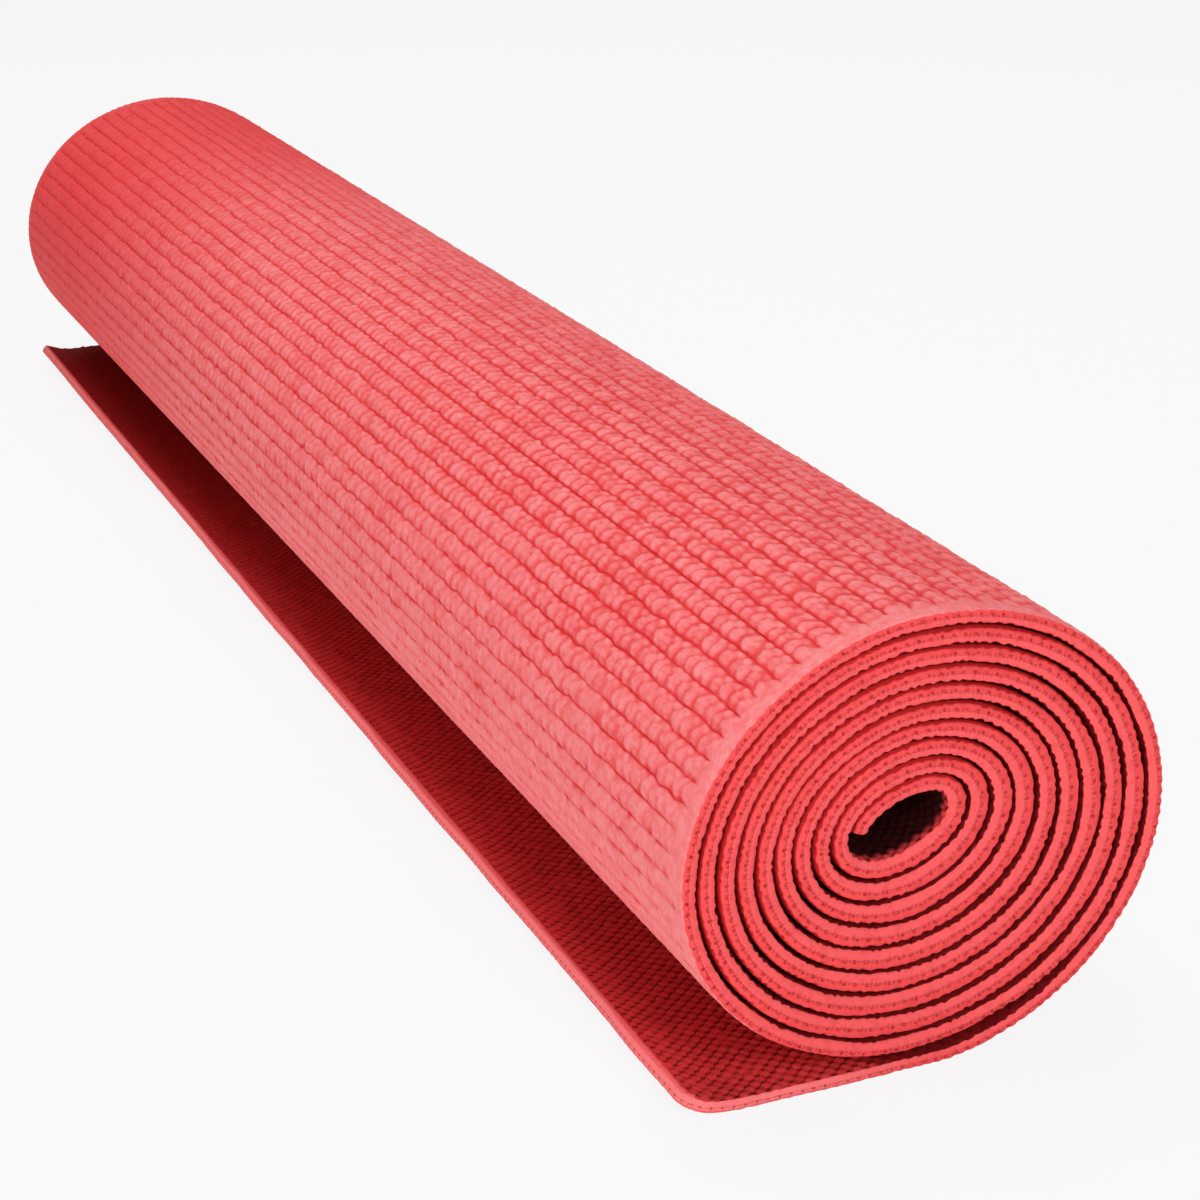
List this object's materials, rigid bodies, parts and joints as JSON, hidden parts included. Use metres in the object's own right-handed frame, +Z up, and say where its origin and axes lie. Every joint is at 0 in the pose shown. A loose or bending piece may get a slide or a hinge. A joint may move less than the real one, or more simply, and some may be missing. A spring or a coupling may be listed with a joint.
{
  "type": "yoga mat",
  "caption": "Foam exercise mat rolled up on its side, with its loose end open on the floor. The loose end bends up against the roll.",
  "frame": {"origin": "on the floor, under the middle of the roll's box", "axes": "+X along the axis of the roll, towards the end that the picture shows; -Y towards the free edge of the loose end; +Z up"},
  "size_m": [0.61, 0.1034, 0.095],
  "materials": {
    "facing": "matte ribbed foam",
    "net": "open polyester net",
    "backing": "matte waffle foam"
  },
  "bodies": {
    "roll": {"roll_facing": "facing", "roll_net": "net", "roll_backing": "backing"},
    "flap_1": {"flap_1_facing": "facing", "flap_1_net": "net", "flap_1_backing": "backing"},
    "flap_2": {"flap_2_facing": "facing", "flap_2_net": "net", "flap_2_backing": "backing"},
    "flap_3": {"flap_3_facing": "facing", "flap_3_net": "net", "flap_3_backing": "backing"},
    "flap_4": {"flap_4_facing": "facing", "flap_4_net": "net", "flap_4_backing": "backing"}
  },
  "joints": [
    {"name": "flap_bend_1", "type": "hinge", "parent": "roll", "child": "flap_1", "pos_m": [0, -0.01072, 0.0031], "axis": [-1, 0, 0], "range_deg": [0, 10], "stiffness_Nm_per_rad": 0.01},
    {"name": "flap_bend_2", "type": "hinge", "parent": "flap_1", "child": "flap_2", "pos_m": [0, -0.02075, 0.0031], "axis": [-1, 0, 0], "range_deg": [0, 10], "stiffness_Nm_per_rad": 0.01},
    {"name": "flap_bend_3", "type": "hinge", "parent": "flap_2", "child": "flap_3", "pos_m": [0, -0.03078, 0.0031], "axis": [-1, 0, 0], "range_deg": [0, 10], "stiffness_Nm_per_rad": 0.01},
    {"name": "flap_bend_4", "type": "hinge", "parent": "flap_3", "child": "flap_4", "pos_m": [0, -0.04081, 0.00318], "axis": [-1, 0, 0], "range_deg": [0, 10], "stiffness_Nm_per_rad": 0.01}
  ],
  "couplings": [
    {"joint": "flap_bend_2", "follows": "flap_bend_1", "ratio": 1},
    {"joint": "flap_bend_3", "follows": "flap_bend_1", "ratio": 1},
    {"joint": "flap_bend_4", "follows": "flap_bend_1", "ratio": 1}
  ]
}
